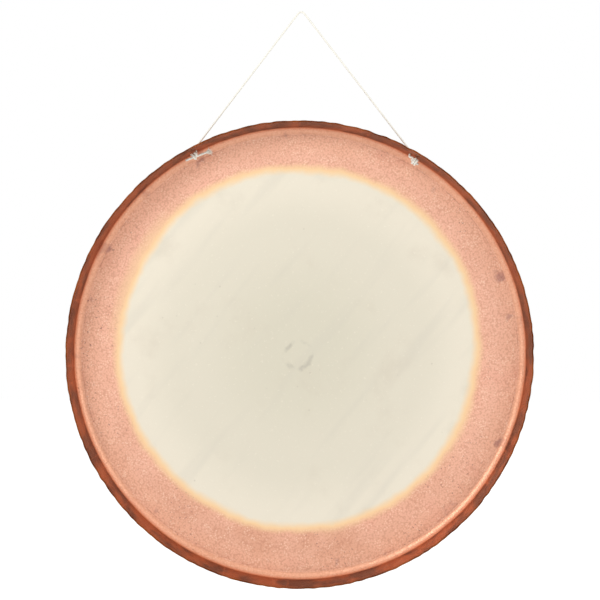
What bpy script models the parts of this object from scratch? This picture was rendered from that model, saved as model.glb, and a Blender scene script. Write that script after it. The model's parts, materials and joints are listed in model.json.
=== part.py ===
"""A tam gong hanging from one cord, with its hollow back towards -Y. Metres, +Z up.

The origin is where a hook bears on the cord, at the cord's highest point. The gong's
middle lies straight below it. The gong is drawn in a frame of its own: X to the right,
Y from the rim's free edge (0) to the struck front, Z up, and its axis along Y. It then
hangs from the line through its two holes, leaned until its centre of mass is under them.
"""

import math

import bmesh
import bpy
import numpy as np
from mathutils import Matrix, Vector

# Gong, one sheet of hammered bronze.
GONG_DIAMETER = 0.812  # over the rim's free edge
SHEET = 0.0025
RIM_DEPTH = 0.055  # from the face's edge to the rim's free edge
RIM_FLARE = 0.005  # how much wider the free edge is, as a radius, than the face's corner
BEND_RADIUS = 0.015  # outer radius of the turn from face to rim
DOME = 0.008  # rise of the face's middle over its edge

# Holes in the rim, as the viewer of the hollow side sees them.
LEFT_HOLE_ANGLE = math.radians(27.4)  # from straight up
RIGHT_HOLE_ANGLE = math.radians(28.6)
HOLE_FROM_FACE = 0.022
HOLE_DIAMETER = 0.005

# Cord.
CORD_DIAMETER = 0.0032
HOOK_ABOVE_CENTRE = 0.596  # the cord's underside on the hook, over the gong's middle
HOOK_BEND = 0.007  # radius of the cord's centreline over the hook
STRAND_GAP = 0.0005  # least space between two strands of a knot

GAP = 0.0003  # clearance between pieces that touch

# How finely the round shapes are cut.
SIDES = 128
FACE_RINGS = 9
BEND_STEPS = 7
LEG_STEPS = 30
HOOK_STEPS = 10
KNOT_STEP = 0.001
EASE_PASSES = 220

CORD_RADIUS = CORD_DIAMETER / 2
PITCH = CORD_DIAMETER + STRAND_GAP  # from strand to strand in a knot
EDGE_RADIUS = GONG_DIAMETER / 2
CORNER_RADIUS = EDGE_RADIUS - RIM_FLARE
FLARE_ANGLE = math.atan2(RIM_FLARE, RIM_DEPTH)
WALL_ACROSS = SHEET / math.cos(FLARE_ANGLE)  # the rim's thickness along a hole
HOLE_DEPTH = RIM_DEPTH - HOLE_FROM_FACE  # from the free edge's plane to the holes
HOLE_OUTSIDE = EDGE_RADIUS - RIM_FLARE * HOLE_DEPTH / RIM_DEPTH
PIVOT_STAND_OFF = CORD_RADIUS + 2 * GAP  # of the cord's end from the rim's outside


def clear_scene():
    for obj in list(bpy.data.objects):
        bpy.data.objects.remove(obj, do_unlink=True)


def material(name, colour, roughness, metallic):
    made = bpy.data.materials.new(name)
    made.use_nodes = True
    shader = made.node_tree.nodes["Principled BSDF"]
    shader.inputs["Base Color"].default_value = (*colour, 1)
    shader.inputs["Roughness"].default_value = roughness
    shader.inputs["Metallic"].default_value = metallic
    return made


def add(name, data, finish, parent=None, location=(0, 0, 0)):
    data.materials.append(finish)
    obj = bpy.data.objects.new(name, data)
    bpy.context.collection.objects.link(obj)
    obj.parent = parent
    obj.location = location
    return obj


def outer_profile():
    """Points (radius, depth) of the front and outside, from the axis to the free edge."""
    corner = Vector((CORNER_RADIUS, RIM_DEPTH))
    into_wall = (Vector((EDGE_RADIUS, 0)) - corner).normalized()
    into_face = Vector((-1, 2 * DOME / CORNER_RADIUS)).normalized()
    half_turn = (math.pi - into_wall.angle(into_face)) / 2
    reach = BEND_RADIUS * math.tan(half_turn)
    start, end = corner + into_face * reach, corner + into_wall * reach
    middle = corner + (into_wall + into_face).normalized() * BEND_RADIUS / math.cos(half_turn)
    rise = DOME * (start.x / CORNER_RADIUS) ** 2
    points = []
    for k in range(FACE_RINGS):
        share = k / FACE_RINGS
        points.append(Vector((start.x * share, start.y + rise * (1 - share**2))))
    first = start - middle
    turn = first.angle_signed(end - middle)
    for k in range(BEND_STEPS + 1):
        points.append(middle + Matrix.Rotation(-turn * k / BEND_STEPS, 2) @ first)
    points.append(Vector((EDGE_RADIUS, 0)))
    return points


def inner_profile(outer):
    """The same points moved inwards by the sheet's thickness, and cut off at the free edge."""
    points = []
    for k, point in enumerate(outer):
        before, after = outer[max(k - 1, 0)], outer[min(k + 1, len(outer) - 1)]
        along = (after - before).normalized()
        points.append(point + Vector((along.y, -along.x)) * SHEET)
    points[0].x = 0
    points[-1] = Vector((EDGE_RADIUS - WALL_ACROSS, 0))
    return points


def centre_of_mass_depth(outer):
    """Distance of the bare sheet's centre of mass from the free edge's plane."""
    area = moment = 0
    for a, b in zip(outer, outer[1:]):
        strip = (a - b).length * (a.x + b.x)
        area += strip
        moment += strip * (a.y + b.y) / 2
    return moment / area - SHEET / 2


def gong_mesh(outer):
    """The closed outline of the sheet, spun about the gong's axis."""
    shape = bmesh.new()
    outline = outer + inner_profile(outer)[::-1]
    verts = [shape.verts.new((p.x, p.y, 0)) for p in outline]
    edges = [shape.edges.new(pair) for pair in zip(verts, verts[1:])]
    whole_turn = {"axis": (0, 1, 0), "angle": 2 * math.pi, "steps": SIDES, "use_merge": True}
    bmesh.ops.spin(shape, geom=verts + edges, cent=(0, 0, 0), **whole_turn)
    bmesh.ops.remove_doubles(shape, verts=shape.verts, dist=1e-6)
    bmesh.ops.recalc_face_normals(shape, faces=shape.faces)
    mesh = bpy.data.meshes.new("gong_body")
    shape.to_mesh(mesh)
    shape.free()
    return mesh


def rim_frame(angle):
    """Directions at a hole in the gong's frame: along the rim, inwards, to the viewer."""
    outward = Vector((math.sin(angle), 0, math.cos(angle)))
    along = Vector((math.cos(angle), 0, -math.sin(angle)))
    return along, -outward, Vector((0, -1, 0))


def on_hole(angle, radius):
    """The point of a hole's axis at this distance from the gong's axis."""
    return rim_frame(angle)[1] * -radius + Vector((0, HOLE_DEPTH, 0))


def cut_hole(gong, name, angle, finish):
    mesh = bpy.data.meshes.new(name)
    shape = bmesh.new()
    size = HOLE_DIAMETER / 2
    bmesh.ops.create_cone(shape, cap_ends=True, segments=20, radius1=size, radius2=size, depth=8 * SHEET)
    shape.to_mesh(mesh)
    shape.free()
    cutter = add(name, mesh, finish, gong, on_hole(angle, HOLE_OUTSIDE))
    cutter.rotation_euler = (0, angle, 0)
    cutter.hide_render = True
    cutter.display_type = "WIRE"
    cut = gong.modifiers.new(name, "BOOLEAN")
    cut.operation = "DIFFERENCE"
    cut.solver = "EXACT"
    cut.object = cutter


def tube(name, points, finish, parent=None, location=(0, 0, 0)):
    curve = bpy.data.curves.new(name, "CURVE")
    curve.dimensions = "3D"
    curve.bevel_depth = CORD_RADIUS
    curve.bevel_resolution = 2
    curve.use_fill_caps = True
    spline = curve.splines.new("POLY")
    spline.points.add(len(points) - 1)
    for target, point in zip(spline.points, points):
        target.co = (*point, 1)
    return add(name, curve, finish, parent, location)


def cord_route(left, right):
    """The free cord's centreline: up from the left hole, over the hook, down to the right."""
    top = Vector((0, 0, CORD_RADIUS))
    hook = top - Vector((0, 0, HOOK_BEND))
    touches = []
    for end, side in ((left, -1), (right, 1)):
        to_end = end - hook
        swing = math.acos(HOOK_BEND / to_end.length)
        lean = math.atan2(abs(to_end.x), to_end.z) - swing
        touches.append(side * lean)
    route = []
    first = hook + HOOK_BEND * Vector((math.sin(touches[0]), 0, math.cos(touches[0])))
    for k in range(LEG_STEPS):
        route.append(left.lerp(first, k / LEG_STEPS))
    for k in range(HOOK_STEPS + 1):
        angle = touches[0] + (touches[1] - touches[0]) * k / HOOK_STEPS
        route.append(hook + HOOK_BEND * Vector((math.sin(angle), 0, math.cos(angle))))
    last = route[-1]
    for k in range(1, LEG_STEPS + 1):
        route.append(last.lerp(right, k / LEG_STEPS))
    return route


def winding(centre, radius, along, turn):
    """Points of a turn round an axis along the rim. Turn 0 is at the wall, 90 at the viewer."""
    count = max(2, round(abs(turn[1] - turn[0]) / 27))
    share = np.linspace(0, 1, count + 1)
    angle = np.radians(turn[0] + (turn[1] - turn[0]) * share)
    return np.stack(
        [
            centre[0] + along[0] + (along[1] - along[0]) * share,
            centre[1] - radius * np.cos(angle),
            centre[2] + radius * np.sin(angle),
        ],
        axis=1,
    )


def stub():
    """The straight stretch through the hole, from just outside the rim to just inside it."""
    return [(0, -(WALL_ACROSS + GAP) / PITCH, 0), (0, 0.55, 0.0)]


def left_knot_route():
    """A slipped overhand knot. Values are in strand pitches: along the rim, inwards, to the viewer."""
    come_in = stub() + [(-0.3, 1.15, 0.5)]
    core = [(-0.7, 1.5, 1.3), (-1.5, 1.6, 1.7), (-2.7, 1.55, 1.5)]
    turn = winding((-1.55, 2.05, 1.9), 1.58, (-0.95, 0.75), (20, 420))
    draw_out = [(-0.5, 2.9, 2.7), (-0.9, 2.7, 2.4), (-1.8, 2.55, 2.4), (-3.2, 2.4, 2.4), (-5.5, 2.2, 2.3)]
    loop_end = [(-6.2, 2.1, 2.13), (-6.4, 2.06, 1.8), (-6.2, 2.0, 1.43)]
    back = [(-5.5, 2.0, 1.3), (-3.2, 2.3, 1.35), (-1.8, 2.45, 1.37), (-0.2, 2.6, 1.4), (2.0, 2.8, 1.5)]
    end = [(4.9, 3.2, 1.6)]
    return np.vstack([come_in, core, turn, draw_out, loop_end, back, end])


def right_knot_route():
    """A double overhand stopper, lying along the rim. Values as in left_knot_route."""
    come_in = stub() + [(0.35, 1.1, 0.4)]
    core = [(1.4, 1.45, 1.0), (2.4, 1.5, 1.5), (3.5, 1.5, 1.6), (4.6, 1.45, 1.6)]
    turn = winding((3.5, 1.98, 1.6), 1.5, (1.15, -1.0), (40, 690))
    cut_end = [(2.15, 2.5, 2.15), (2.55, 2.5, 1.6), (3.5, 2.5, 1.6), (4.6, 2.5, 1.6), (5.3, 2.55, 1.65)]
    return np.vstack([come_in, core, turn, cut_end])


def even_out(route, step):
    """The same line with its points a step apart."""
    along = np.concatenate([[0], np.cumsum(np.linalg.norm(np.diff(route, axis=0), axis=1))])
    at = np.linspace(0, along[-1], max(round(along[-1] / step), 2) + 1)
    return np.stack([np.interp(at, along, route[:, axis]) for axis in range(3)], axis=1)


def strand_distances(route, step):
    """Vectors and distances between points that aren't neighbours along the cord."""
    count = len(route)
    rows, columns = np.indices((count, count))
    apart = route[:, None] - route[None]
    distance = np.linalg.norm(apart, axis=2)
    distance[np.abs(rows - columns) * step <= 1.5 * PITCH] = np.inf
    return apart, distance


def ease(route):
    """Round a knot's bends, keeping its length, its strands apart and the cord off the rim."""
    route = even_out(route, KNOT_STEP)
    free = (np.linalg.norm(route - route[0], axis=1) > 2 * PITCH).astype(float)[:, None]
    seat = CORD_RADIUS + 2 * GAP
    for _ in range(EASE_PASSES):
        move = np.zeros_like(route)
        move[1:-1] = (route[:-2] + route[2:] - 2 * route[1:-1]) / 4
        move[2:-2] -= (route[:-4] + route[4:] - 2 * route[2:-2]) / 32
        route = route + move * free
        for _ in range(4):
            apart, distance = strand_distances(route, KNOT_STEP)
            lack = np.clip(PITCH - distance, 0, None) / distance
            route = route + 0.35 * (apart * lack[..., None]).sum(axis=1) * free
            below = free[:, 0] * np.clip(seat - route[:, 1], 0, None)
            route[:, 1] += below
            span = np.diff(route, axis=0)
            length = np.linalg.norm(span, axis=1, keepdims=True)
            pull = 0.4 * span * (length - KNOT_STEP) / length
            route[:-1] += pull * free[:-1]
            route[1:] -= pull * free[1:]
    return route


def knot(name, route, angle, finish, parent, location):
    route = ease(route * PITCH)
    spare = strand_distances(route, KNOT_STEP)[1].min() - CORD_DIAMETER
    print(f"{name}: {len(route)} points, least gap between strands {spare * 1000:.2f} mm")
    mouth = on_hole(angle, HOLE_OUTSIDE - WALL_ACROSS)
    along, inward, viewer = rim_frame(angle)
    points = [mouth + along * float(a) + inward * float(b) + viewer * float(c) for a, b, c in route]
    return tube(name, points, finish, parent, location)


def main():
    clear_scene()
    bronze = material("bronze", (0.58, 0.42, 0.27), 0.32, 1.0)
    white_cord = material("white_cord", (0.80, 0.81, 0.80), 0.85, 0.0)

    outer = outer_profile()
    left = on_hole(-LEFT_HOLE_ANGLE, HOLE_OUTSIDE + PIVOT_STAND_OFF)
    right = on_hole(RIGHT_HOLE_ANGLE, HOLE_OUTSIDE + PIVOT_STAND_OFF)
    line = (right - left).normalized()
    under_hook = left + line * (-left.x / line.x)
    lean = -math.atan2(centre_of_mass_depth(outer) - HOLE_DEPTH, under_hook.z)

    # The hinge's empty carries the gong and its knots. It stands on the line of the holes.
    hinge = bpy.data.objects.new("gong_hinge", None)
    bpy.context.collection.objects.link(hinge)
    hinge.location = (0, 0, under_hook.z * math.cos(lean) - HOOK_ABOVE_CENTRE)
    hinge.rotation_mode = "AXIS_ANGLE"
    hinge.rotation_axis_angle = (lean, *line)
    home = -under_hook

    gong = add("gong_body", gong_mesh(outer), bronze, hinge, home)
    cut_hole(gong, "left_hole", -LEFT_HOLE_ANGLE, bronze)
    cut_hole(gong, "right_hole", RIGHT_HOLE_ANGLE, bronze)
    gong.data.shade_smooth()
    gong.data.set_sharp_from_angle(angle=math.radians(40))

    place = Matrix.Translation(hinge.location)
    route = cord_route(place @ (left - under_hook), place @ (right - under_hook))
    tube("hanging_cord", route, white_cord)
    knot("left_knot", left_knot_route(), -LEFT_HOLE_ANGLE, white_cord, hinge, home)
    knot("right_knot", right_knot_route(), RIGHT_HOLE_ANGLE, white_cord, hinge, home)
    print(f"lean {math.degrees(lean):.3f} degrees, hinge at {tuple(hinge.location)}, axis {tuple(line)}")


main()
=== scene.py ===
# %% [markdown]
# # A tam gong on its cord
# The object is a sheet of hammered bronze with a turned rim, seen from its hollow back.
# A white cord passes over a hook, goes through two holes in the rim and is knotted inside.
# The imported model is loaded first, because it fixes every size and place.

# %% The fixed frame
import json
import math
from types import SimpleNamespace

import bmesh
import bpy
import numpy as np
from mathutils import Matrix, Vector


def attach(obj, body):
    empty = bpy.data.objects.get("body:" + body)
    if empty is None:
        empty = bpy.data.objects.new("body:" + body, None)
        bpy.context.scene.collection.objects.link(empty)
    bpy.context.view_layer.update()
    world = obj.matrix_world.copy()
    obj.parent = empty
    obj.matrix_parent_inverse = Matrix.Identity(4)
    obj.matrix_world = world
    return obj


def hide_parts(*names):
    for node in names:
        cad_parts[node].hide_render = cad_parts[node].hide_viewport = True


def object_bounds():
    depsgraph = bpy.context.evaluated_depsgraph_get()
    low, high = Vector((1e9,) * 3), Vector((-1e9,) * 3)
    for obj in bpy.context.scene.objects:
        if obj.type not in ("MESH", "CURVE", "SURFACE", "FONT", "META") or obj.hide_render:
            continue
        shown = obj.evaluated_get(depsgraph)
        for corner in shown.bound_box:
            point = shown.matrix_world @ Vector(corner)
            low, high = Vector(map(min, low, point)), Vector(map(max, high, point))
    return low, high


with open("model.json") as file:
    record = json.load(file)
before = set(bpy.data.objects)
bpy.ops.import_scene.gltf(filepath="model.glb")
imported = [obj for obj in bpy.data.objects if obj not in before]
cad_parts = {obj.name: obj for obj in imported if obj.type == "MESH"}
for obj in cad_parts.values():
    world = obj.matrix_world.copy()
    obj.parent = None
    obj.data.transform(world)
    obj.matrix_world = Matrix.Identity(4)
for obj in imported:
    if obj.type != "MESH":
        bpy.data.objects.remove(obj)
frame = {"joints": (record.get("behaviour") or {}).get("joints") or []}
cad_box = [list(corner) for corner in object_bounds()]
hinge = frame["joints"][0]
print("the model's box in metres:", cad_box)

# %% [markdown]
# ## The gong's own frame
# A turned piece is easiest to draw round its own axis: X right, Y from the rim's free edge
# to the front, Z up. The real gong leans so that its weight hangs under its two holes, so
# one matrix takes that frame to where the gong hangs. The sizes repeat the model's.

# %% Sizes and the matrix
EDGE_RADIUS = 0.406
SHEET = 0.0025
RIM_DEPTH = 0.055
RIM_FLARE = 0.005
BEND_RADIUS = 0.015
DOME = 0.008
HOLE_FROM_FACE = 0.022
HOLE_DIAMETER = 0.005
LEFT_ANGLE, RIGHT_ANGLE = math.radians(-27.4), math.radians(28.6)
CORD_DIAMETER = 0.0032
STRAND_GAP = 0.0005
HOOK_BEND = 0.007
GAP = 0.0003
LEAN = math.radians(-2.849)

CORD_RADIUS = CORD_DIAMETER / 2
PITCH = CORD_DIAMETER + STRAND_GAP
CORNER_RADIUS = EDGE_RADIUS - RIM_FLARE
WALL_ACROSS = SHEET / math.cos(math.atan2(RIM_FLARE, RIM_DEPTH))
HOLE_DEPTH = RIM_DEPTH - HOLE_FROM_FACE
HOLE_OUTSIDE = EDGE_RADIUS - RIM_FLARE * HOLE_DEPTH / RIM_DEPTH
PIVOT_RADIUS = HOLE_OUTSIDE + CORD_RADIUS + 2 * GAP


def on_hole(angle, radius):
    """The point of a hole's axis at this distance from the gong's axis, in the gong's frame."""
    return Vector((math.sin(angle) * radius, HOLE_DEPTH, math.cos(angle) * radius))


left_pivot, right_pivot = on_hole(LEFT_ANGLE, PIVOT_RADIUS), on_hole(RIGHT_ANGLE, PIVOT_RADIUS)
hole_line = (right_pivot - left_pivot).normalized()
under_hook = left_pivot + hole_line * (-left_pivot.x / hole_line.x)
leaned = Matrix.Rotation(LEAN, 4, hole_line) @ Matrix.Translation(-under_hook)
to_world = Matrix.Translation(hinge["pos_m"]) @ leaned
turn = np.array(to_world)
print("the gong's middle is at", [round(v, 4) for v in to_world.translation])


def hang(points):
    """Points of the gong's frame taken to the world."""
    return points @ turn[:3, :3].T + turn[:3, 3]


# %% [markdown]
# ## The camera
# The photograph is taken from a little above the gong's axis and slightly right of it,
# which is why the rim's inner wall looks widest at the lower left. The camera is placed
# in the gong's frame, and a small lens shift brings the gong to its place in the picture.

# %% Camera
PICTURE = 600
CAMERA_DISTANCE = 2.1
CAMERA_RIGHT, CAMERA_UP = 0.030, 0.111
GONG_IN_PICTURE = (299.96, 354.8)
METRES_PER_PIXEL = 0.0017307
ROLL = math.radians(-0.24)

focal_pixels = CAMERA_DISTANCE / METRES_PER_PIXEL
lens = bpy.data.cameras.new("camera")
lens.sensor_width = 36
lens.lens = 36 * focal_pixels / PICTURE
middle_x = PICTURE / 2 - CAMERA_RIGHT / METRES_PER_PIXEL
middle_y = PICTURE / 2 + CAMERA_UP / METRES_PER_PIXEL
lens.shift_x = -(GONG_IN_PICTURE[0] - middle_x) / PICTURE
lens.shift_y = (GONG_IN_PICTURE[1] - middle_y) / PICTURE
lens.clip_end = 50
camera = bpy.data.objects.new("camera", lens)
bpy.context.scene.collection.objects.link(camera)
stand = Matrix.Translation((CAMERA_RIGHT, -CAMERA_DISTANCE, CAMERA_UP))
aimed = Matrix.Rotation(ROLL, 4, "Y") @ Matrix.Rotation(math.pi / 2, 4, "X")
camera.matrix_world = to_world @ stand @ aimed
bpy.context.scene.camera = camera
print("lens", round(lens.lens, 1), "mm, shift", round(lens.shift_x, 4), round(lens.shift_y, 4))

# %% [markdown]
# ## Surfaces from arrays
# Every new piece is a grid of points, rows by columns, worked out as one array. A helper
# turns the grid into a mesh, closes it round where asked, and adds UV maps and attributes.


# %% Grid to mesh
def grid_piece(name, points, body, material, close_rows=False, caps=False, maps=(), sharp=35):
    """A mesh of the rows and columns of points; its columns always close round."""
    rows, columns = points.shape[:2]
    index = np.arange(rows * columns).reshape(rows, columns)
    upper = index if close_rows else index[:-1]
    lower = np.roll(index, -1, axis=0) if close_rows else index[1:]
    quads = np.stack([upper, np.roll(upper, -1, axis=1), np.roll(lower, -1, axis=1), lower], axis=-1)
    faces = quads.reshape(-1, 4).tolist()
    if caps:
        faces += [index[0, ::-1].tolist(), index[-1].tolist()]
    mesh = bpy.data.meshes.new(name)
    mesh.from_pydata(points.reshape(-1, 3).tolist(), [], faces)
    corners = np.empty(len(mesh.loops), np.int32)
    mesh.loops.foreach_get("vertex_index", corners)
    for map_name, values in maps:
        flat = values.reshape(rows * columns, -1)
        if flat.shape[1] == 2:
            layer = mesh.uv_layers.new(name=map_name)
            layer.uv.foreach_set("vector", flat[corners].astype(np.float32).ravel())
        else:
            attribute = mesh.attributes.new(map_name, "FLOAT", "POINT")
            attribute.data.foreach_set("value", flat.astype(np.float32).ravel())
    mesh.materials.append(material)
    mesh.shade_smooth()
    mesh.set_sharp_from_angle(angle=math.radians(sharp))
    piece = bpy.data.objects.new(name, mesh)
    bpy.context.scene.collection.objects.link(piece)
    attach(piece, body)
    print(name, "has", len(mesh.polygons), "faces")
    return piece


# %% [markdown]
# ## Shader maths as expressions
# A finish is a formula over the surface. A small class wraps a node's socket, so that
# plain arithmetic on values adds Math nodes, and one method adds any other node.


# %% Sockets
class Value:
    def __init__(self, tree, socket):
        self.tree, self.socket = tree, socket

    def node(self, kind, settings=None, output=0, **inputs):
        return add_node(self.tree, kind, settings, output, **inputs)

    def maths(self, operation, first, second):
        return self.node("ShaderNodeMath", {"operation": operation}, i0=first, i1=second)

    def __add__(self, other):
        return self.maths("ADD", self, other)

    def __sub__(self, other):
        return self.maths("SUBTRACT", self, other)

    def __rsub__(self, other):
        return self.maths("SUBTRACT", other, self)

    def __mul__(self, other):
        return self.maths("MULTIPLY", self, other)

    __radd__ = __add__

    def above(self, low, high):
        """0 below low, 1 above high, smooth between."""
        ends = {"i1": low, "i2": high, "i3": 0.0, "i4": 1.0}
        smooth_step = {"interpolation_type": "SMOOTHSTEP"}
        return self.node("ShaderNodeMapRange", smooth_step, i0=self, **ends)

    def near(self, middle, width):
        """1 at the middle, falling to 0 at this distance on both sides."""
        return self.above(middle - width, middle) * (1 - self.above(middle, middle + width))


def add_node(tree, kind, settings=None, output=0, **inputs):
    """A new node. An input goes by its name, or by its number after one letter, as in i0."""
    made = tree.nodes.new(kind)
    for key, value in (settings or {}).items():
        setattr(made, key, value)
    for key, value in inputs.items():
        target = made.inputs[int(key[1:]) if key[1:].isdigit() else key.replace("_", " ")]
        if isinstance(value, Value):
            tree.links.new(value.socket, target)
        else:
            target.default_value = value
    return Value(tree, made.outputs[output])


def tint(red, green, blue):
    """A colour read as a picture's 0 to 255, made linear."""
    share = np.array([red, green, blue]) / 255
    return (*np.where(share <= 0.04045, share / 12.92, ((share + 0.055) / 1.055) ** 2.4), 1.0)


def blend_colour(mask, first, second):
    """first where mask is 0, second where it is 1."""
    colours = {"i6": first, "i7": second}
    return add_node(mask.tree, "ShaderNodeMix", {"data_type": "RGBA"}, 2, i0=mask, **colours)


def noise(tree, place, scale, detail=3.0, roughness=0.5):
    sizes = {"Scale": scale, "Detail": detail, "Roughness": roughness}
    return add_node(tree, "ShaderNodeTexNoise", None, 0, Vector=place, **sizes)


def new_finish(name, roughness=0.5, metallic=0.0):
    made = bpy.data.materials.new(name)
    made.use_nodes = True
    shader = made.node_tree.nodes["Principled BSDF"]
    shader.inputs["Roughness"].default_value = roughness
    shader.inputs["Metallic"].default_value = metallic
    return made, made.node_tree, shader


def feed(tree, shader, **links):
    for key, value in links.items():
        tree.links.new(value.socket, shader.inputs[key.replace("_", " ")])


# %% [markdown]
# ## The bronze
# The middle keeps a pale, lacquered skin. An amber line parts it from a copper-pink ring,
# where the metal was heated and hammered again. The rim's wall is dark and glossy; its deep
# brown is partly the bronze's own tone and partly painted shade and inter-reflection. All of
# this follows the distance from the gong's axis, so the mesh carries the flat position in
# a UV map, and the shader takes its length. The struck front has the same colours.

# %% Places on the bronze
CREASE = 0.3868  # radius where the face meets the bend
PATCH_EDGE = 0.330  # radius where the pale patch ends, before it wobbles
PATCH_SHIFT = (0.002, -0.009, 0)  # takes the patch's middle to the axis
SCUFF_RADIUS = 0.024
SCUFF_SHIFT = (0.004, 0.004, 0)


def cells(tree, place, scale, feature="F1"):
    """Distance to the nearest of many scattered points."""
    settings = {"feature": feature}
    return add_node(tree, "ShaderNodeTexVoronoi", settings, 0, Vector=place, Scale=scale)


def distance(tree, place, shift=(0, 0, 0)):
    """How far a flat position lies from the axis, once it has been shifted."""
    moved = add_node(tree, "ShaderNodeVectorMath", {"operation": "ADD"}, 0, i0=place, i1=shift)
    return add_node(tree, "ShaderNodeVectorMath", {"operation": "LENGTH"}, 1, i0=moved)


def bronze_places(tree):
    """The positions, distances and noises that the zones of colour share."""
    flat = add_node(tree, "ShaderNodeUVMap", {"uv_map": "flat"})
    solid = add_node(tree, "ShaderNodeTexCoord", None, 3)
    around = add_node(tree, "ShaderNodeUVMap", {"uv_map": "around"})
    wobble = (noise(tree, flat, 5.0, 4.0, 0.55) - 0.5) * 0.026
    wobble = wobble + (noise(tree, flat, 45.0, 2.0) - 0.5) * 0.007
    return SimpleNamespace(
        flat=flat,
        solid=solid,
        around=around,
        depth=add_node(tree, "ShaderNodeAttribute", {"attribute_name": "depth"}, 2),
        height=add_node(tree, "ShaderNodeSeparateXYZ", None, 1, i0=flat),
        radius=distance(tree, flat),
        patch=distance(tree, flat, PATCH_SHIFT) + wobble,
        cloud=noise(tree, flat, 9.0, 5.0, 0.6),
        fine=noise(tree, flat, 170.0, 3.0, 0.6),
        facet=noise(tree, around, 17.0, 3.0),
        dots=cells(tree, solid, 310.0),
    )


# %% Zones of colour
def pale_middle(tree, at):
    """Cream, lighter outwards, with clouds, pits, a scuffed ring and slanting bands."""
    colour = blend_colour(at.patch.above(0.05, 0.21), tint(216, 210, 191), tint(223, 216, 198))
    colour = blend_colour(at.patch.above(0.21, 0.31), colour, tint(233, 225, 207))
    colour = blend_colour(at.cloud.above(0.52, 0.75) * 0.35, colour, tint(208, 198, 180))
    colour = blend_colour(at.fine.above(0.60, 0.72) * 0.3, colour, tint(243, 236, 220))
    pit = 1 - cells(tree, at.solid, 42.0).above(0.03, 0.10)
    pit = pit * noise(tree, at.flat, 7.0).above(0.50, 0.62)
    colour = blend_colour(pit * 0.5, colour, tint(196, 188, 170))
    scuff = distance(tree, at.flat, SCUFF_SHIFT) + (noise(tree, at.flat, 40.0, 3.0) - 0.5) * 0.02
    worn = scuff.near(SCUFF_RADIUS, 0.006) * noise(tree, at.flat, 30.0, 3.0).above(0.42, 0.6)
    colour = blend_colour(worn * 0.55, colour, tint(176, 170, 156))
    slant = {"Rotation": (0, 0, 0.9), "Scale": (0.33, 0.04, 1.0)}
    texture = {"vector_type": "TEXTURE"}
    bands = add_node(tree, "ShaderNodeMapping", texture, 0, Vector=at.flat, **slant)
    band = noise(tree, bands, 1.0, 2.0).above(0.5, 0.75)
    return blend_colour(band * 0.25, colour, tint(204, 198, 184))


def copper_ring(tree, at):
    """Copper pink, paler upwards, lightened outwards with painted light against the rim's shade,
    with fine dots, specks and stains.
    """
    colour = blend_colour(at.cloud.above(0.35, 0.65), tint(222, 163, 134), tint(236, 180, 153))
    colour = blend_colour(at.height.above(-0.42, -0.05) * 0.5, colour, tint(252, 196, 170))
    # painted light: the outer ring is lightened to offset the shade that the rim wall throws on it
    colour = blend_colour(at.radius.above(0.345, 0.385) * 0.8, colour, tint(246, 186, 155))
    colour = blend_colour(at.cloud.above(0.55, 0.7) * 0.35, colour, tint(228, 158, 134))
    colour = blend_colour(at.dots.above(0.45, 0.80) * 0.35, colour, tint(190, 124, 98))
    dot = (1 - at.dots.above(0.14, 0.36)) * noise(tree, at.flat, 60.0, 3.0).above(0.42, 0.62)
    colour = blend_colour(dot * 0.75, colour, tint(255, 224, 198))
    speck = noise(tree, at.flat, 200.0, 2.0).above(0.63, 0.69)
    speck = speck * noise(tree, at.flat, 6.0).above(0.45, 0.6)
    colour = blend_colour(speck * 0.7, colour, tint(140, 84, 84))
    stain = noise(tree, at.flat, 24.0, 3.0).above(0.62, 0.72) * at.radius.above(0.366, 0.378)
    return blend_colour(stain * 0.55, colour, tint(148, 96, 98))


def rim_wall_tone_and_shade(tree, at):
    """Dark brown, partly the bronze's own tone and partly painted shade and copper inter-reflection
    of the hollow, with broad lighter patches and narrow streaks across the rim.
    """
    # painted shade: the deep, saturated brown stands partly for shade and copper inter-reflection
    # inside the hollow rim
    colour = blend_colour(at.facet.above(0.38, 0.60), tint(96, 42, 14), tint(164, 88, 40))
    squeezed = (70.0, 9.0, 1.0)
    place = add_node(tree, "ShaderNodeMapping", None, 0, Vector=at.around, Scale=squeezed)
    streak = noise(tree, place, 1.0, 3.0, 0.6)
    return blend_colour(streak.above(0.58, 0.74) * 0.5, colour, tint(196, 118, 76))


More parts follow.
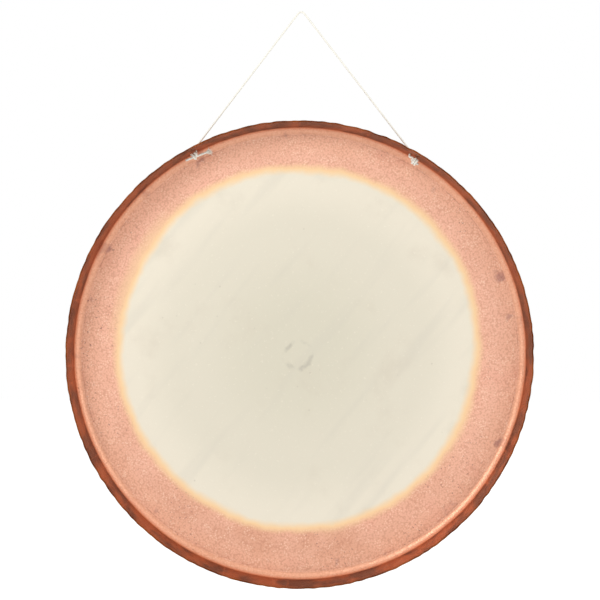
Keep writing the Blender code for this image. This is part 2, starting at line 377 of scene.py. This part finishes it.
# %% Bronze finish
def bronze_finish():
    made, tree, shader = new_finish("hammered_bronze", metallic=0.55)
    at = bronze_places(tree)

    on_amber = at.patch.above(PATCH_EDGE - 0.024, PATCH_EDGE - 0.009)
    on_ring = at.patch.above(PATCH_EDGE - 0.013, PATCH_EDGE + 0.003)
    face = blend_colour(on_amber, pale_middle(tree, at), tint(246, 210, 162))
    face = blend_colour(on_ring, face, copper_ring(tree, at))
    halo = noise(tree, at.flat, 3.1, 1.0).above(0.52, 0.68) * at.patch.near(PATCH_EDGE, 0.016)
    face = blend_colour(halo * 0.6, face, tint(240, 200, 158))
    # painted shade: a dark, broken line in the crease where the face meets the bend
    crease_shade_line = at.radius.near(CREASE, 0.0018) * at.facet.above(0.45, 0.6)
    face = blend_colour(crease_shade_line * 0.35, face, tint(170, 104, 80))
    on_bend = at.radius.above(CREASE + 0.0004, CREASE + 0.0032)
    face = blend_colour(on_bend * 0.5, face, tint(224, 158, 122))

    on_wall = (1 - at.depth.above(0.040, 0.048)) * at.radius.above(0.3925, 0.3965)
    # the wall's colour, partly painted shade and inter-reflection, covers the rim's inner wall
    colour = blend_colour(on_wall, face, rim_wall_tone_and_shade(tree, at))
    on_free_edge = 1 - at.depth.above(0.0002, 0.0012)
    colour = blend_colour(on_free_edge * 0.4, colour, tint(92, 46, 22))

    outward = at.radius.above(0.30, 0.345)
    dents = cells(tree, at.solid, 58.0, "SMOOTH_F1") * (0.2 + outward * 0.6)
    height = dents - at.dots * 0.5 * outward + at.fine * 0.1 + at.cloud * 0.15
    bump = add_node(tree, "ShaderNodeBump", None, 0, Strength=0.42, Distance=0.0016, Height=height)
    shine = 0.46 - outward * 0.08 - on_wall * 0.12 + at.cloud * 0.08
    metal = 0.55 + on_wall * 0.4
    feed(tree, shader, Base_Color=colour, Roughness=shine, Metallic=metal, Normal=bump)
    return made


bronze = bronze_finish()

# %% [markdown]
# ## The sheet
# The gong is a profile turned round its axis. The profile goes along the front to the
# free edge and back along the inside, a sheet's thickness away. Hammering moves both
# skins together by up to half a millimetre, and pulls the free edge in here and there, so
# the outline is never quite a circle. The face and the rim are made as two closed pieces.


# %% Profile
def profile(count):
    """Front skin (radius, depth) from axis to free edge, even steps, and its inward normals."""
    corner = np.array([CORNER_RADIUS, RIM_DEPTH])
    down = np.array([EDGE_RADIUS, 0]) - corner
    down /= np.linalg.norm(down)
    back = np.array([-1, 2 * DOME / CORNER_RADIUS])
    back /= np.linalg.norm(back)
    half = (math.pi - math.acos(down @ back)) / 2
    start = corner + back * BEND_RADIUS * math.tan(half)
    bisector = (down + back) / np.linalg.norm(down + back)
    middle = corner + bisector * BEND_RADIUS / math.cos(half)
    share = np.linspace(0, 1, 200)
    rise = DOME * (start[0] / CORNER_RADIUS) ** 2
    face = np.stack([start[0] * share, start[1] + rise * (1 - share**2)], axis=1)
    first = math.atan2(*(start - middle)[::-1])
    angle = first - 2 * half * np.linspace(0, 1, 60)[1:]
    bend = middle + BEND_RADIUS * np.stack([np.cos(angle), np.sin(angle)], axis=1)
    wall = bend[-1] + (np.array([EDGE_RADIUS, 0]) - bend[-1]) * np.linspace(0, 1, 40)[1:, None]
    line = np.vstack([face, bend, wall])
    along = np.concatenate([[0], np.cumsum(np.linalg.norm(np.diff(line, axis=0), axis=1))])
    at = np.linspace(0, along[-1], count)
    points = np.stack([np.interp(at, along, line[:, k]) for k in (0, 1)], axis=1)
    slope = np.gradient(points, axis=0)
    slope /= np.linalg.norm(slope, axis=1, keepdims=True)
    return points, np.stack([slope[:, 1], -slope[:, 0]], axis=1)


AROUND = 600  # steps round the axis
ALONG = 170  # steps from the axis to the free edge
SHEET_WAVES, RIM_WAVES = 26, 8  # how many sine waves the hammering is made of
DENT = 0.0009  # depth that the sheet's waves are scaled to
FULL_DENT_FROM, FULL_DENT_AT = 0.30, 0.38  # radii between which the dents grow
skin, inward = profile(ALONG)
rng = np.random.default_rng(7)
waves = rng.normal(size=(SHEET_WAVES, 2)) * 95
phases = rng.uniform(0, 2 * math.pi, SHEET_WAVES)
rim_waves = rng.integers(70, 165, RIM_WAVES)
rim_phases = rng.uniform(0, 2 * math.pi, RIM_WAVES)


def turned(radius, depth, normal_r, normal_y):
    """Rows of the profile carried round the axis, moved along their normal by the hammering."""
    angle = 2 * math.pi * np.arange(AROUND) / AROUND
    x = radius[:, None] * np.sin(angle)
    z = radius[:, None] * np.cos(angle)
    dent = np.sin(x[..., None] * waves[:, 0] + z[..., None] * waves[:, 1] + phases).mean(-1)
    rim_dent = np.sin(angle[:, None] * rim_waves + rim_phases).mean(-1)
    outward = (radius - FULL_DENT_FROM) / (FULL_DENT_AT - FULL_DENT_FROM)
    inset = DENT * dent * np.clip(outward, 0.25, 1)[:, None]
    on_rim = np.clip((RIM_DEPTH - 0.01 - depth) / 0.03, 0, 1)[:, None]
    pull = on_rim * (0.0005 + 0.0009 * rim_dent + 0.0012 * dent)
    r = radius[:, None] + inset * normal_r[:, None] - np.clip(pull, 0, None)
    y = depth[:, None] + inset * normal_y[:, None] * np.clip(depth / 0.02, 0, 1)[:, None]
    points = np.stack([r * np.sin(angle), y, r * np.cos(angle)], axis=-1)
    around = np.stack(np.broadcast_arrays(angle * EDGE_RADIUS, y), axis=-1)
    return points, around


def sheet_piece(name, rows, closing):
    """One closed piece of the sheet: its front rows outwards, then its inner rows back."""
    front, normals = skin[rows], inward[rows]
    inner = front + normals * SHEET
    inner[:, 0] = np.maximum(inner[:, 0], 0)
    inner[:, 1] = np.maximum(inner[:, 1], 0)
    loop = np.vstack([front, inner[::-1]])
    loop_normals = np.vstack([normals, normals[::-1]])
    points, around = turned(loop[:, 0], loop[:, 1], loop_normals[:, 0], loop_normals[:, 1])
    maps = [("flat", points[..., [0, 2]]), ("around", around), ("depth", points[..., 1:2])]
    return grid_piece(name, hang(points), "gong", bronze, close_rows=closing, maps=maps)


split_row = int(np.searchsorted(skin[:, 0], CREASE))
face_rows = np.arange(1, split_row + 1, 2)
if face_rows[-1] != split_row:
    face_rows = np.append(face_rows, split_row)
face_piece = sheet_piece("gong_face", face_rows, False)
rim_piece = sheet_piece("gong_rim", np.arange(split_row, len(skin)), True)


# %% [markdown]
# The turned grid starts a few millimetres from the axis, so one face closes each side.

# %% Poles, holes and normals
def finish_sheet(piece):
    shape = bmesh.new()
    shape.from_mesh(piece.data)
    open_edges = [edge for edge in shape.edges if edge.is_boundary]
    if open_edges:
        bmesh.ops.holes_fill(shape, edges=open_edges, sides=0)
    bmesh.ops.recalc_face_normals(shape, faces=shape.faces)
    shape.to_mesh(piece.data)
    shape.free()


finish_sheet(face_piece)
finish_sheet(rim_piece)


def drill(piece, angle):
    """Cut a hole through the rim, along the line to the gong's axis."""
    shape = bmesh.new()
    size = {"radius1": HOLE_DIAMETER / 2, "radius2": HOLE_DIAMETER / 2, "depth": 8 * SHEET}
    bmesh.ops.create_cone(shape, cap_ends=True, segments=32, **size)
    mesh = bpy.data.meshes.new("drill")
    shape.to_mesh(mesh)
    shape.free()
    at_rim = Matrix.Translation(on_hole(angle, HOLE_OUTSIDE))
    mesh.transform(to_world @ at_rim @ Matrix.Rotation(angle, 4, "Y"))
    cutter = bpy.data.objects.new("drill", mesh)
    bpy.context.scene.collection.objects.link(cutter)
    cut = piece.modifiers.new("hole", "BOOLEAN")
    cut.operation, cut.solver, cut.object = "DIFFERENCE", "EXACT", cutter
    graph = bpy.context.evaluated_depsgraph_get()
    done = bpy.data.meshes.new_from_object(piece.evaluated_get(graph))
    piece.modifiers.clear()
    piece.data = done
    bpy.data.objects.remove(cutter)


drill(rim_piece, LEFT_ANGLE)
drill(rim_piece, RIGHT_ANGLE)
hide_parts("gong_body")
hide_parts("gong_body")

# %% [markdown]
# ## Cord
# A twisted cord is three strands laid together. Its cross-section is a circle with three
# shallow grooves, and the grooves turn as they go along. The section is carried along the
# route with a frame that never twists by itself, and the twist is then added by formula.


# %% Cord finish and tube
def cord_finish():
    made, tree, shader = new_finish("white_cord", roughness=0.85)
    lay = add_node(tree, "ShaderNodeUVMap", {"uv_map": "lay"})
    groove = add_node(tree, "ShaderNodeAttribute", {"attribute_name": "groove"}, 2)
    squeezed = (2.0, 2200.0, 1.0)
    thread_place = add_node(tree, "ShaderNodeMapping", None, 0, Vector=lay, Scale=squeezed)
    thread = noise(tree, thread_place, 1.0, 2.0)
    # painted shade: the grooves between the strands are darkened
    colour = blend_colour(groove.above(0.5, 1.0) * 0.4, tint(247, 244, 233), tint(184, 183, 176))
    colour = blend_colour(thread.above(0.5, 0.7) * 0.3, colour, tint(208, 207, 202))
    bump = add_node(tree, "ShaderNodeBump", None, 0, Strength=0.5, Distance=0.0002, Height=thread)
    feed(tree, shader, Base_Color=colour, Normal=bump)
    return made


white_cord = cord_finish()
LAY_LENGTH = 0.011  # of one whole turn of the three strands
SECTION = 24  # points round the cord
FREE_GROOVE, KNOT_GROOVE = 0.13, 0.10  # depth of the grooves, as a share of the radius


def carried_frames(route):
    """Tangents and two cross directions along a route, each turned as little as it can be."""
    tangent = np.gradient(route, axis=0)
    tangent /= np.linalg.norm(tangent, axis=1, keepdims=True)
    side = np.empty_like(tangent)
    start = np.cross(tangent[0], (0.31, 0.87, 0.39))
    side[0] = start / np.linalg.norm(start)
    for k in range(1, len(route)):
        kept = side[k - 1] - tangent[k] * (side[k - 1] @ tangent[k])
        side[k] = kept / np.linalg.norm(kept)
    return tangent, side, np.cross(tangent, side)


def rings(route, side, other, size, angle):
    """Points at these angles and distances round each point of a route."""
    outward = np.cos(angle)[:, None] * side[:, None] + np.sin(angle)[:, None] * other[:, None]
    return route[:, None] + size[..., None] * outward


def twisted_tube(name, route, body, groove_depth, swell=1):
    """A three-strand section along the route, with rounded ends."""
    tangent, side, other = carried_frames(route)
    step = np.linalg.norm(np.diff(route, axis=0), axis=1)
    along = np.concatenate([[0], np.cumsum(step)])
    angle = 2 * math.pi * np.arange(SECTION) / SECTION
    lay = angle[None, :] - (2 * math.pi * along / LAY_LENGTH)[:, None]
    groove = 1 - np.abs(np.cos(1.5 * lay))
    from_end = np.minimum(along, along[-1] - along)
    from_end = np.clip(from_end / CORD_RADIUS, 0, 1)
    round_end = np.sqrt(np.clip(1 - (1 - from_end) ** 2, 0.02, 1))
    size = CORD_RADIUS * (1 - groove_depth * groove) * (round_end * swell)[:, None]
    points = rings(route, side, other, size, angle)
    lay_map = np.stack(np.broadcast_arrays(lay / (2 * math.pi), along[:, None]), axis=-1)
    maps = [("lay", lay_map), ("groove", groove[..., None])]
    piece = grid_piece(name, points, body, white_cord, caps=True, maps=maps, sharp=80)
    finish_sheet(piece)
    return piece


def even_out(route, step):
    """The same line with its points a step apart."""
    along = np.concatenate([[0], np.cumsum(np.linalg.norm(np.diff(route, axis=0), axis=1))])
    at = np.linspace(0, along[-1], max(round(along[-1] / step), 2) + 1)
    return np.stack([np.interp(at, along, route[:, axis]) for axis in range(3)], axis=1)


# %% [markdown]
# The free cord hangs taut, so its two legs are straight, and only the hook bends it.


# %% Free cord
def cord_route():
    left, right = to_world @ left_pivot, to_world @ right_pivot
    hook = Vector((0, 0, CORD_RADIUS - HOOK_BEND))
    touches = []
    for end, hand in ((left, -1), (right, 1)):
        to_end = end - hook
        towards_end = math.atan2(abs(to_end.x), to_end.z)
        touches.append(hand * (towards_end - math.acos(HOOK_BEND / to_end.length)))
    angle = np.linspace(touches[0], touches[1], 24)
    over_hook = np.stack([np.sin(angle), 0 * angle, np.cos(angle)], axis=1)
    return np.vstack([left, np.array(hook) + HOOK_BEND * over_hook, right])


route = even_out(cord_route(), 0.0007)
free_cord = twisted_tube("free_cord", route, "cord", FREE_GROOVE)
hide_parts("hanging_cord")


# %% [markdown]
# ## Knots
# The left end is a slipped overhand knot: its draw loop lies to the left and its frayed
# end to the right. The right end is a double overhand stopper. Each route is a short list
# of points, eased until no bend is sharp and no strands touch, as a pulled knot settles.


# %% Knot routes
def winding(centre, radius, along, angles):
    """Points of a turn round an axis along the rim. Turn 0 is at the wall, 90 at the viewer."""
    count = max(2, round(abs(angles[1] - angles[0]) / 27))
    share = np.linspace(0, 1, count + 1)
    angle = np.radians(angles[0] + (angles[1] - angles[0]) * share)
    place = [centre[0] + along[0] + (along[1] - along[0]) * share]
    place += [centre[1] - radius * np.cos(angle), centre[2] + radius * np.sin(angle)]
    return np.stack(place, axis=1)


STUB = [(0, -(WALL_ACROSS + GAP) / PITCH, 0), (0, 0.55, 0.0)]


def left_knot_route():
    come_in = STUB + [(-0.3, 1.15, 0.5)]
    core = [(-0.7, 1.5, 1.3), (-1.5, 1.6, 1.7), (-2.7, 1.55, 1.5)]
    wrap = winding((-1.55, 2.05, 1.9), 1.58, (-0.95, 0.75), (20, 420))
    draw_out = [(-0.5, 2.9, 2.7), (-0.9, 2.7, 2.4), (-1.8, 2.55, 2.4), (-3.2, 2.4, 2.4)]
    loop_end = [(-5.5, 2.2, 2.3), (-6.2, 2.1, 2.13), (-6.4, 2.06, 1.8), (-6.2, 2.0, 1.43)]
    back = [(-5.5, 2.0, 1.3), (-3.2, 2.3, 1.35), (-1.8, 2.45, 1.37), (-0.2, 2.6, 1.4)]
    end = [(2.0, 2.8, 1.5), (4.9, 3.2, 1.6)]
    return np.vstack([come_in, core, wrap, draw_out, loop_end, back, end])


def right_knot_route():
    come_in = STUB + [(0.35, 1.1, 0.4)]
    core = [(1.4, 1.45, 1.0), (2.4, 1.5, 1.5), (3.5, 1.5, 1.6), (4.6, 1.45, 1.6)]
    wrap = winding((3.5, 1.98, 1.6), 1.5, (1.15, -1.0), (40, 690))
    through = [(2.15, 2.5, 2.15), (2.55, 2.5, 1.6), (3.5, 2.5, 1.6)]
    cut_end = [(4.6, 2.5, 1.6), (5.3, 2.55, 1.65)]
    return np.vstack([come_in, core, wrap, through, cut_end])


def ease(route, step=0.001):
    """Round a knot's bends, keeping its length, its strands apart and the cord off the rim."""
    route = even_out(route, step)
    count = len(route)
    rows, columns = np.indices((count, count))
    close = np.abs(rows - columns) * step <= 1.5 * PITCH
    free = (np.linalg.norm(route - route[0], axis=1) > 2 * PITCH).astype(float)[:, None]
    seat = CORD_RADIUS + 2 * GAP
    for _ in range(220):
        move = np.zeros_like(route)
        move[1:-1] = (route[:-2] + route[2:] - 2 * route[1:-1]) / 4
        move[2:-2] -= (route[:-4] + route[4:] - 2 * route[2:-2]) / 32
        route = route + move * free
        for _ in range(4):
            apart = route[:, None] - route[None]
            distance = np.linalg.norm(apart, axis=2)
            distance[close] = np.inf
            lack = np.clip(PITCH - distance, 0, None) / distance
            route = route + 0.35 * (apart * lack[..., None]).sum(axis=1) * free
            route[:, 1] += free[:, 0] * np.clip(seat - route[:, 1], 0, None)
            span = np.diff(route, axis=0)
            length = np.linalg.norm(span, axis=1, keepdims=True)
            pull = 0.4 * span * (length - step) / length
            route[:-1] += pull * free[:-1]
            route[1:] -= pull * free[1:]
    return route


def smooth(route, step):
    """A finer, softly rounded copy of a route."""
    fine = even_out(route, step)
    for _ in range(10):
        fine[1:-1] += (fine[:-2] + fine[2:] - 2 * fine[1:-1]) / 4
    return fine


def at_hole(route, angle):
    """A route along the rim, inwards and to the viewer, set at a hole's inner mouth."""
    mouth = np.array(on_hole(angle, HOLE_OUTSIDE - WALL_ACROSS))
    along_rim = (math.cos(angle), 0, -math.sin(angle))
    inwards = (-math.sin(angle), 0, -math.cos(angle))
    to_viewer = (0, -1, 0)
    return hang(mouth + route @ np.array([along_rim, inwards, to_viewer]))


SWELL = 0.24  # how much thicker than the solids a knot's cord looks
SWELL_FROM, SWELL_OVER = 0.001, 0.003  # inwards of the rim's inner skin
to_pivot = np.array([(0, -(WALL_ACROSS + CORD_RADIUS + 2 * GAP), 0)])
knots = []
eased_routes = {}
for name, points, angle in (
    ("left_knot", left_knot_route(), LEFT_ANGLE),
    ("right_knot", right_knot_route(), RIGHT_ANGLE),
):
    eased = ease(points * PITCH)
    eased_routes[name] = eased
    line = smooth(np.vstack([to_pivot, eased]), 0.0004)
    swell = 1 + SWELL * np.clip((line[:, 1] - SWELL_FROM) / SWELL_OVER, 0, 1)
    made = twisted_tube(name + "_strands", at_hole(line, angle), "gong", KNOT_GROOVE, swell)
    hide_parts(name)
    knots.append(made)


# %% [markdown]
# The left end is cut and has frayed: its fibres open into a small fan.

# %% Frayed end
tip = eased_routes["left_knot"][-1]
heading = tip - eased_routes["left_knot"][-6]
heading = heading / np.linalg.norm(heading)
FIBRES = 70
FIBRE_RADIUS = 0.00034
SHORTEST, LONGEST = 0.0055, 0.0105
SPREAD = (0.0006, 0.0022, 0.0016)  # along the rim, inwards and to the viewer
for_fibres = np.random.default_rng(11)
steps = np.linspace(0, 1, 9)
fan = []
for k in range(FIBRES):
    across = for_fibres.normal(size=3) * SPREAD
    start = tip - heading * 0.003 + across * 0.4
    reach = for_fibres.uniform(SHORTEST, LONGEST)
    curl = for_fibres.normal(size=3) * 0.0007
    fibre = start + heading * reach * steps[:, None] + (across * 1.1) * steps[:, None] ** 1.5
    fan.append(fibre + curl * steps[:, None] ** 2)
for k, fibre in enumerate(fan):
    angle = 2 * math.pi * np.arange(5) / 5
    world = at_hole(fibre, LEFT_ANGLE)
    tangent, side, other = carried_frames(world)
    thick = FIBRE_RADIUS * (1 - 0.5 * steps)[:, None]
    fan[k] = rings(world, side, other, thick, angle)


def many_tubes(name, tubes, body):
    """Several small tubes in one mesh, each closed at both ends."""
    points, faces = [], []
    for tube in tubes:
        rows, columns = tube.shape[:2]
        index = np.arange(rows * columns).reshape(rows, columns) + sum(map(len, points))
        rolled = np.roll(index, -1, axis=1)
        quads = np.stack([index[:-1], rolled[:-1], rolled[1:], index[1:]], axis=-1)
        faces += quads.reshape(-1, 4).tolist() + [index[0, ::-1].tolist(), index[-1].tolist()]
        points.append(tube.reshape(-1, 3))
    mesh = bpy.data.meshes.new(name)
    mesh.from_pydata(np.vstack(points).tolist(), [], faces)
    mesh.materials.append(white_cord)
    mesh.shade_smooth()
    piece = bpy.data.objects.new(name, mesh)
    bpy.context.scene.collection.objects.link(piece)
    finish_sheet(piece)
    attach(piece, body)
    return piece


fray = many_tubes("left_knot_fray", fan, "gong")
knots + [fray]

# %% [markdown]
# ## Floor and light
# The gong hangs a quarter of a metre over a pale floor. The picture's background is plain
# white, so the world and the floor are white to the camera and in reflections, and the
# floor still takes the gong's shadow. Wide soft lamps give the hammering its shading.

# %% Floor
UNDER_GONG = 0.25
FLOOR = cad_box[0][2] - UNDER_GONG
HALF = 4.0  # of the floor's side
floor_mesh = bpy.data.meshes.new("floor")
corners = [(x, y, FLOOR) for x, y in ((-HALF, -HALF), (HALF, -HALF), (HALF, HALF), (-HALF, HALF))]
floor_mesh.from_pydata(corners, [], [(0, 1, 2, 3)])
floor = bpy.data.objects.new("floor", floor_mesh)
bpy.context.scene.collection.objects.link(floor)


def seen_by(tree, *kinds):
    """1 for these kinds of ray, 0 for all others."""
    rays = tree.nodes.new("ShaderNodeLightPath")
    return sum(Value(tree, rays.outputs[kind]) for kind in kinds)


def floor_finish():
    made = bpy.data.materials.new("pale_floor")
    made.use_nodes = True
    tree = made.node_tree
    tree.nodes.clear()
    out = tree.nodes.new("ShaderNodeOutputMaterial")
    seen = seen_by(tree, "Is Camera Ray", "Is Glossy Ray")
    matt = add_node(tree, "ShaderNodeBsdfDiffuse", None, 0, Color=(0.86, 0.86, 0.86, 1))
    white = add_node(tree, "ShaderNodeEmission", None, 0, Color=(1, 1, 1, 1), Strength=1.25)
    mixed = add_node(tree, "ShaderNodeMixShader", None, 0, i0=seen * 0.72, i1=matt, i2=white)
    tree.links.new(mixed.socket, out.inputs["Surface"])
    return made


floor_mesh.materials.append(floor_finish())

# %% World and lamps
world = bpy.data.worlds.new("studio")
bpy.context.scene.world = world
world.use_nodes = True
tree = world.node_tree
tree.nodes.clear()
seen = seen_by(tree, "Is Camera Ray", "Is Transmission Ray", "Is Glossy Ray")
soft_light = add_node(tree, "ShaderNodeBackground", None, 0, Color=(1, 1, 1, 1), Strength=0.70)
white = add_node(tree, "ShaderNodeBackground", None, 0, Color=(1, 1, 1, 1), Strength=1.0)
mixed = add_node(tree, "ShaderNodeMixShader", None, 0, i0=seen, i1=soft_light, i2=white)
tree.links.new(mixed.socket, tree.nodes.new("ShaderNodeOutputWorld").inputs["Surface"])


def lamp(name, place, aim, size, power):
    light = bpy.data.lights.new(name, "AREA")
    light.size = size
    light.energy = power
    made = bpy.data.objects.new(name, light)
    bpy.context.scene.collection.objects.link(made)
    made.location = place
    made.rotation_euler = (Vector(aim) - Vector(place)).to_track_quat("-Z", "Y").to_euler()


gong_middle = tuple(to_world.translation)
lamp("key", (-1.9, -2.2, 1.1), gong_middle, 1.2, 38)
lamp("fill", (2.2, -1.6, 0.2), gong_middle, 1.6, 14)
lamp("front_side", (1.2, 2.6, 0.8), gong_middle, 1.4, 34)
bpy.context.scene.view_settings.view_transform = "Standard"

# %% The end
bpy.context.view_layer.update()
